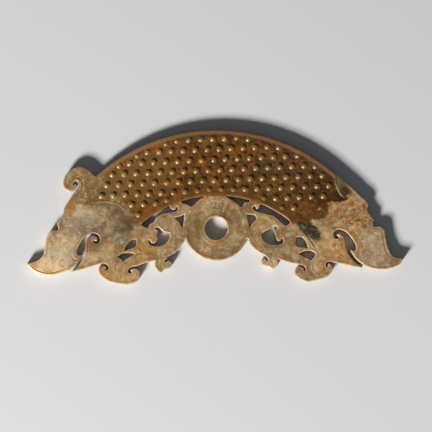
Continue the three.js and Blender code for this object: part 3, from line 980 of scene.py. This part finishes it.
# %% Clouds and flecks in the stone
cloud = graph.noise(soft, 13.0, 4.0, 0.6)
blotch = graph.noise(ragged, 3.6, 4.0, 0.6)
amber = graph.noise(ragged, 7.5, 4.0, 0.6)
fleck = graph.noise(coordinates, 1.3, 3.0, 0.6)
speck = graph.noise(warped(1.0, 2.0), 2.6, 4.0, 0.66)

# %% The pale stone
pale = graph.mix(cloud.smooth(0.38, 0.62), linear("b3956a"), linear("7e6b4c"))
pale = tint(pale, amber.smooth(0.52, 0.68) * 0.55, "a8742f")

CRISP_BELOW = 6.5  # a stain no wider than this keeps its place and only its edge is ragged
PALE_STAINS = [
    # x, y, width, height, turn, colour, strength
    (-88, -28, 11, 12, 20, "dac8a8", 0.78),
    (-91, -37, 11, 4.5, -8, "f0d3a6", 0.88),
    (-70, -12, 11, 8, -15, "ac9c86", 0.75),
    (-66, -6, 6, 3, -20, "b9a272", 0.6),
    (-61, -18, 13, 5, -10, "7d6a58", 0.8),
    (-66, -25, 4.6, 5.6, 0, "745440", 0.8),
    (-56, -15, 4, 2, 20, "b7a586", 0.6),
    (-73, -6.5, 5, 2.4, 30, "c6b494", 0.6),
    (-52, -22, 5, 2.6, -10, "7d7462", 0.7),
    (-70, 7, 12, 11, 0, "84633c", 0.88),
    (-77, -5.5, 3.4, 3.0, 50, "ab7226", 0.85),
    (-84, -16, 4, 1.8, -20, "a97f52", 0.5),
    (-86, -22.5, 3.4, 2.6, 0, "bd8f58", 0.5),
    (-97, -35, 3, 1.2, -30, "c28a52", 0.4),
    (-37, -28, 6, 4, 20, "a57433", 0.6),
    (-39, -33, 4, 1.5, 20, "b27a2e", 0.6),
    (-32, -17, 6, 5, 0, "96886c", 0.6),
    (-40, -20, 4, 3, 0, "8f7148", 0.6),
    (-52, -41, 11, 5, 5, "b3905a", 0.5),
    (-68, -33.5, 8, 3, 25, "cbb28a", 0.75),
    # Painted highlight: the pinkish streak below lies along the right head's brow, where its edge catches
    # the light.
    (76, -1, 6, 1.3, -46, "c3a184", 0.8),
    (71, -11, 13, 9, 0, "c6a06c", 0.65),
    (84, -29, 9, 10, -15, "b09e80", 0.9),
    (59, -23, 7, 6, 0, "c4ab80", 0.75),
    (52.5, -14.8, 3.4, 1.0, -10, "b7a180", 0.7),
    (66, -28, 7, 9, 0, "d8ab70", 0.8),
    (29, -37, 3.5, 3, 0, "d6c7a2", 0.8),
    (25, -14, 8, 6, 0, "b89a62", 0.75),
    (33, -30, 8, 4, -10, "927a58", 0.6),
    (-11, -18, 5, 8, 0, "86704a", 0.6),
    (0, -28, 9, 4, 0, "94805e", 0.6),
]


def with_stains(base, stains):
    """A colour with each of the stains mixed in, one over the other."""
    for x, y, width, height, turn, hex_colour, strength in stains:
        space = ragged if width > CRISP_BELOW else crisp
        base = tint(base, patch(x, y, width, height, turn, 0.5, space) * strength, hex_colour)
    return base


pale = with_stains(pale, PALE_STAINS)
pale = tint(pale, blotch.smooth(0.48, 0.66) * 0.38, "dccdaf")
pale = tint(pale, blotch.smooth(0.5, 0.34) * 0.38, "80552f")
pale = tint(pale, fleck.smooth(0.54, 0.7) * 0.3, "ece0c8")
pale = tint(pale, fleck.smooth(0.46, 0.3) * 0.36, "5f3f20")
vein_cloud = graph.noise(warped(2.0, 3.0), 8.0, 5.0, 0.7)
veins = abs(vein_cloud - 0.5).smooth(0.022, 0.004) * speck.smooth(0.42, 0.6)
pale = tint(pale, veins * 0.6, "7a4a22")
pale = graph.mix(graph.attribute("stain_cover"), pale, graph.attribute("stain_colour", "Color"))

# %% The dark stain beside the right bird
charred = patch(48.9, -18.4, 8.4, 3.5, -42, 0.22, warped(2.3, 2.6))
charred_colour = graph.mix(speck.smooth(0.46, 0.64), linear("17130f"), linear("504a42"))
pale = graph.mix(charred * 0.93, pale, charred_colour)
# Painted highlight: a small blue-grey glint on the dark stain.
pale = tint(pale, patch(45.6, -17.2, 1.5, 1.1, -40, 0.5, crisp) * 0.45, "84868a")

# %% The brown band
along = graph.node("ShaderNodeSeparateXYZ", {}, {"Vector": coordinates}, "X")
toward_left = along.smooth(15 * MM, -60 * MM)
brown = graph.mix(blotch.smooth(0.34, 0.64), linear("482a10"), linear("7d5221"))
brown = tint(brown, cloud.smooth(0.5, 0.66) * 0.55, "504122")
brown = tint(brown, amber.smooth(0.52, 0.68) * 0.7, "96591a")
BROWN_STAINS = [
    # x, y, width, height, turn, colour, strength
    (-44, 10, 24, 14, 30, "7e5f2e", 0.6),
    (-58, 4, 10, 8, 0, "74603c", 0.6),
    (58, 2, 14, 10, -30, "402610", 0.7),
    (26, 14, 6, 4, 0, "3c3a34", 0.6),
    (42, 12, 12, 7, -30, "4c3c22", 0.5),
    (0, 2.5, 12, 2.5, 0, "7c4c16", 0.6),
    (54, -8.5, 7, 6, 0, "65401c", 0.7),
    (66.4, -0.6, 4, 2.6, -30, "2f1d0d", 0.85),
    # Painted highlight: the pale spot below is the glint of a worn grain that the mesh doesn't have.
    (54.9, -7.7, 1.2, 0.7, -50, "c9a47c", 0.6),
]
brown = with_stains(brown, BROWN_STAINS)
brown = tint(brown, (1 - toward_left) * 0.18, "1c0f05")
brown = tint(brown, fleck.smooth(0.54, 0.72) * 0.5, "a8793c")
brown = tint(brown, fleck.smooth(0.46, 0.28) * 0.6, "24160a")
brown = tint(brown, speck.smooth(0.58, 0.7) * 0.5, "8a4a18")

# %% [markdown]
# The brown stops where the heads begin. On the left it fades out over several millimetres, and on
# the right it runs on past that line and ends in a hard ragged edge. The distance to that line was
# stored on the mesh, so the stain follows the carving, and the right side adds a few patches to it.

# %% Where the brown ends
nape = graph.attribute("nape")
on_left = along.smooth(2 * MM, -2 * MM)
arch_radius = away_from(*ARCH_CENTRE)
on_band = arch_radius.smooth(63.9, 64.6)
drift = (graph.noise(coordinates, 7.0, 5.0, 0.6) - 0.5) * 16
left_brown = (nape + drift).smooth(-3.0, 5.0)
right_brown = (nape + drift * 0.15).smooth(-1.2, -0.4)
RIGHT_PATCHES = [
    (53.4, -7.9, 6.4, 5.6, 0),
    (62.4, -2.6, 7.4, 2.3, 6),
    (67.2, 0.6, 2.4, 3.2, -30),
    (46, -11.4, 5, 3, -45),
]
for x, y, width, height, turn in RIGHT_PATCHES:
    right_brown = right_brown.larger(patch(x, y, width, height, turn, 0.07, crisp))
stained = on_band * (right_brown * (1 - on_left) + left_brown * on_left)
clean_stone = 1 - stained
colour = graph.mix(stained, pale, brown)

# %% [markdown]
# Rust has crept into the right head along pits and hair cracks. The pits are small round cells.
# The long winding cracks are where a cloud crosses its middle value, and a net of finer ones
# follows the borders between small cells.

# %% Rust
pit_cells = graph.cells(ragged, 2.6, "F1")
pits = pit_cells.smooth(0.34, 0.14)
crack_cloud = graph.noise(warped(1.2, 2.4), 4.6, 3.0, 0.6)
cracks = abs(crack_cloud - 0.5).smooth(0.04, 0.01)
net_edge = graph.cells(warped(1.3, 2.2), 2.2, "DISTANCE_TO_EDGE")
net = net_edge.smooth(0.12, 0.03) * speck.smooth(0.42, 0.54)
jaw_rust = (patch(66, -29, 6, 9) * 0.85).larger(patch(80, -31.5, 3.4, 3.4, 30) * 0.7)
rusty_area = (patch(70, -11, 13, 8).larger(jaw_rust) * 0.66 + 0.08) * clean_stone
rust = pits.larger((cracks * 0.7).larger(net)) * rusty_area
colour = tint(colour, speck.smooth(0.5, 0.62) * rusty_area * 0.45, "b4712c")
colour = tint(colour, rust * 0.95, "6a300e")
colour = tint(colour, pit_cells.smooth(0.2, 0.06) * rusty_area, "3a1c0c")

# %% [markdown]
# Dirt has stayed in the engraved lines. The grains and ridges are lighter, partly rubbed pale and partly
# a painted highlight, and a painted highlight runs as a pale line along the outlines. The band's outer
# rim is lighter than the field, most of all on the left, and the dark line at its foot fades out there.

# %% Dirt in the cuts, polish and painted highlights on the high places and edges
hollow = graph.attribute("hollow")
crest = graph.attribute("crest")
grain = graph.attribute("grain")
edge = graph.attribute("edge")
# Ridges: partly rubbed pale, partly a painted highlight that makes them look lit by the low light.
colour = tint(colour, crest * 0.42, "d8c49c")
rim_foot = arch_radius.smooth(94.5, 98.0) * arch_radius.smooth(99.7, 98.9)
colour = tint(colour, rim_foot * (1 - toward_left * 0.9) * stained * 0.6, "1c0f05")
inner_rim = arch_radius.smooth(71, 65) * stained
colour = tint(colour, inner_rim * 0.35, "9c6e38")
rim = stained * graph.attribute("rim") * nape.smooth(-1.5, 1.0)
rim_colour = graph.mix(toward_left, linear("6e5034"), linear("8e6e49"))
colour = graph.mix(rim * 0.75, colour, rim_colour)
# Grains: each whole grain is lighter, partly rubbed pale and partly a painted highlight that makes its
# glint cream.
colour = tint(colour, grain * 0.4, "ab8040")
dirt_colour = graph.mix(stained, linear("7c4e24"), linear("38220e"))
colour = graph.mix(hollow * (0.85 - stained * 0.25), colour, dirt_colour)
seam = edge.smooth(0.7, 1.2) * edge.smooth(2.6, 1.4)
colour = tint(colour, seam * clean_stone * 0.3, "8f5e2c")
# Painted highlight: a cream line along the outline of the pale stone, where a rounded edge catches the
# light.
colour = tint(colour, edge.smooth(0.9, 0.3) * clean_stone * 0.3, "cdbfa8")
# Painted highlight: a thin tan line along the outer edge of the band's rim, strongest on the left.
colour = tint(colour, edge.smooth(1.1, 0.4) * rim * toward_left * 0.3, "a88458")

# %% Surface of the polish
roughness = 0.32 + fleck * 0.08 + hollow * 0.15 + rust * 0.15 - grain * 0.06
relief = fleck + speck * 1.2 - rust * 0.8
bump = graph.node("ShaderNodeBump", {}, {"Strength": 0.5, "Distance": 0.14 * MM, "Height": relief})
graph.surface(
    {
        "Base Color": colour,
        "Roughness": roughness,
        "Normal": bump,
        "IOR": 1.6,
        "Specular Tint": (1.0, 0.88, 0.7, 1.0),
    }
)
carving.data.materials.append(jade)

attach(carving, "root")
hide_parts("plaque")

# %% [markdown]
# ## Floor, light and camera
# The picture looks straight at the carved face, lit low from the lower left so that every grain
# has a bright and a dark side. Lying down, that is a camera straight above and a soft light beyond
# the lower left corner.

# %% Floor
HALF_FLOOR = 3
FLOOR_DROP = 0.00005  # the floor lies a hair below the back, so the two don't share a plane
corners = [(HALF_FLOOR * x, HALF_FLOOR * y, 0) for x, y in ((-1, -1), (1, -1), (1, 1), (-1, 1))]
floor_mesh = bpy.data.meshes.new("floor")
floor_mesh.from_pydata(corners, [], [(0, 1, 2, 3)])
floor = bpy.data.objects.new("floor", floor_mesh)
floor.location.z = -FLOOR_DROP
bpy.context.scene.collection.objects.link(floor)
floor_material = bpy.data.materials.new("pale_floor")
Graph(floor_material).surface({"Base Color": (0.67, 0.7, 0.77, 1), "Roughness": 0.9})
floor_mesh.materials.append(floor_material)


# %% Lights
SKY_STRENGTH = 0.09


def soft_light(name, azimuth, elevation, distance, size, power, glow):
    """A square light turned towards the pendant, in metres and watts. Azimuth 0 is at +X."""
    lamp = bpy.data.lights.new(name, "AREA")
    lamp.size = size
    lamp.energy = power
    lamp.color = glow
    holder = bpy.data.objects.new(name, lamp)
    turn, lift = math.radians(azimuth), math.radians(elevation)
    aim = np.array([math.cos(turn) * math.cos(lift), math.sin(turn) * math.cos(lift), math.sin(lift)])
    holder.location = aim * distance
    holder.rotation_euler = (math.pi / 2 - lift, 0, turn + math.pi / 2)
    bpy.context.scene.collection.objects.link(holder)


soft_light("key", 235, 28, distance=3.0, size=0.62, power=165.0, glow=(1.0, 0.945, 0.85))
soft_light("fill", 60, 50, distance=3.0, size=2.0, power=1.2, glow=(0.95, 0.97, 1.0))
world = bpy.data.worlds.new("studio")
world.use_nodes = True
world.node_tree.nodes["Background"].inputs["Color"].default_value = (1, 1, 1, 1)
world.node_tree.nodes["Background"].inputs["Strength"].default_value = SKY_STRENGTH
bpy.context.scene.world = world
bpy.context.scene.view_settings.view_transform = "Standard"

# %% Camera
PICTURE_WIDTH = 240.5  # mm across the picture, at the height of the carved face
CAMERA_HEIGHT = 1500.0
PICTURE_CENTRE = np.array([-0.08, -11.35])
camera_data = bpy.data.cameras.new("camera")
camera_data.sensor_width = 36.0
camera_data.lens = camera_data.sensor_width * CAMERA_HEIGHT / PICTURE_WIDTH
camera = bpy.data.objects.new("camera", camera_data)
camera.location = (*(PICTURE_CENTRE * MM), (CAMERA_HEIGHT + THICKNESS) * MM)
camera.rotation_euler = (0, 0, -TILT)
camera_data.clip_end = 20.0
bpy.context.scene.collection.objects.link(camera)
bpy.context.scene.camera = camera
